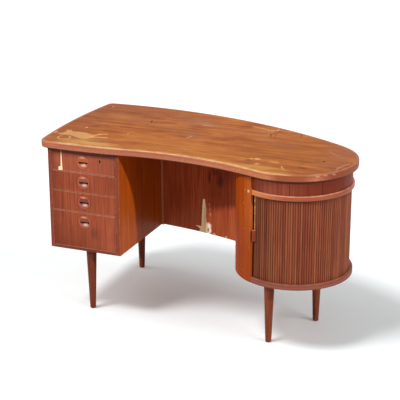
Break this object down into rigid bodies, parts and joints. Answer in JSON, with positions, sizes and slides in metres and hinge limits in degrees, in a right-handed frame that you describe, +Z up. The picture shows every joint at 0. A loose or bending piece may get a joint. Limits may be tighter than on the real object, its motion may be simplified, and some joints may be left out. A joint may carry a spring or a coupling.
{
  "type": "kidney-shaped tambour desk",
  "caption": "Kidney-shaped teak writing desk with a stack of inset drawers, a round tambour cabinet, a curved modesty panel and turned tapered legs.",
  "frame": {"origin": "on the floor, under the middle of the desk's box", "axes": "+X along the desk from the drawers to the round cabinet, +Y from the user's side to the back, +Z up"},
  "size_m": [1.305, 0.741, 0.736],
  "materials": {
    "teak_top": "oiled teak veneer, worn",
    "teak_lipping": "oiled solid teak, rubbed edges",
    "teak_veneer": "oiled teak veneer",
    "teak_solid": "turned and oiled solid teak",
    "teak_tambour": "oiled teak slats",
    "beech": "planed beech",
    "birch_plywood": "sanded plywood",
    "canvas": "plain woven cotton",
    "steel": "plain steel",
    "brass": "tarnished brass"
  },
  "bodies": {
    "desk": {"bookcase_bottom": "teak_veneer", "bookcase_end_panel": "teak_veneer", "bookcase_left_shelf": "teak_veneer", "bookcase_partition": "teak_veneer", "bookcase_right_shelf": "teak_veneer", "cabinet_apron": "teak_veneer", "cabinet_back_panel": "teak_veneer", "cabinet_base": "teak_veneer", "cabinet_base_lip": "teak_lipping", "cabinet_partition": "teak_veneer", "cabinet_rail": "teak_lipping", "cabinet_shelf": "teak_veneer", "cabinet_track_board": "teak_veneer", "cabinet_wall": "teak_veneer", "drawer_runners": "beech", "front_left_leg": "teak_solid", "front_right_leg": "teak_solid", "leg_studs": "steel", "modesty_batten": "teak_lipping", "modesty_panel": "teak_veneer", "pedestal_bottom": "teak_veneer", "pedestal_front_rail": "teak_veneer", "pedestal_inner_back": "teak_veneer", "pedestal_left_side": "teak_veneer", "pedestal_rear_shelf": "teak_veneer", "pedestal_right_side": "teak_veneer", "pedestal_top_rail": "teak_veneer", "rail_screw": "brass", "rear_left_leg": "teak_solid", "rear_right_leg": "teak_solid", "shelf_cleats": "beech", "top_edging": "teak_lipping", "top_panel": "teak_top"},
    "drawer_1": {"drawer_1_back": "beech", "drawer_1_bottom": "birch_plywood", "drawer_1_front": "teak_veneer", "drawer_1_pull": "teak_solid", "drawer_1_sides": "beech", "keyhole_escutcheon": "brass", "lock_case": "steel"},
    "drawer_2": {"drawer_2_back": "beech", "drawer_2_bottom": "birch_plywood", "drawer_2_front": "teak_veneer", "drawer_2_pull": "teak_solid", "drawer_2_sides": "beech"},
    "drawer_3": {"drawer_3_back": "beech", "drawer_3_bottom": "birch_plywood", "drawer_3_front": "teak_veneer", "drawer_3_pull": "teak_solid", "drawer_3_sides": "beech"},
    "drawer_4": {"drawer_4_back": "beech", "drawer_4_bottom": "birch_plywood", "drawer_4_front": "teak_veneer", "drawer_4_pull": "teak_solid", "drawer_4_sides": "beech"},
    "lock_bolt": {"lock_bolt": "steel"},
    "tambour": {"tambour_canvas": "canvas", "tambour_lead_slat": "teak_lipping", "tambour_pull": "teak_solid", "tambour_slats": "teak_tambour"}
  },
  "joints": [
    {"name": "drawer_1_slide", "type": "slide", "parent": "desk", "child": "drawer_1", "axis": [0, -1, 0], "range_m": [0, 0.3]},
    {"name": "drawer_2_slide", "type": "slide", "parent": "desk", "child": "drawer_2", "axis": [0, -1, 0], "range_m": [0, 0.3]},
    {"name": "drawer_3_slide", "type": "slide", "parent": "desk", "child": "drawer_3", "axis": [0, -1, 0], "range_m": [0, 0.3]},
    {"name": "drawer_4_slide", "type": "slide", "parent": "desk", "child": "drawer_4", "axis": [0, -1, 0], "range_m": [0, 0.3]},
    {"name": "lock_bolt_throw", "type": "slide", "parent": "drawer_1", "child": "lock_bolt", "axis": [0, 0, 1], "range_m": [0, 0.012]},
    {"name": "tambour_turn", "type": "hinge", "parent": "desk", "child": "tambour", "pos_m": [0.4135, -0.1335, 0.46], "axis": [0, 0, 1], "range_deg": [0, 155]}
  ]
}
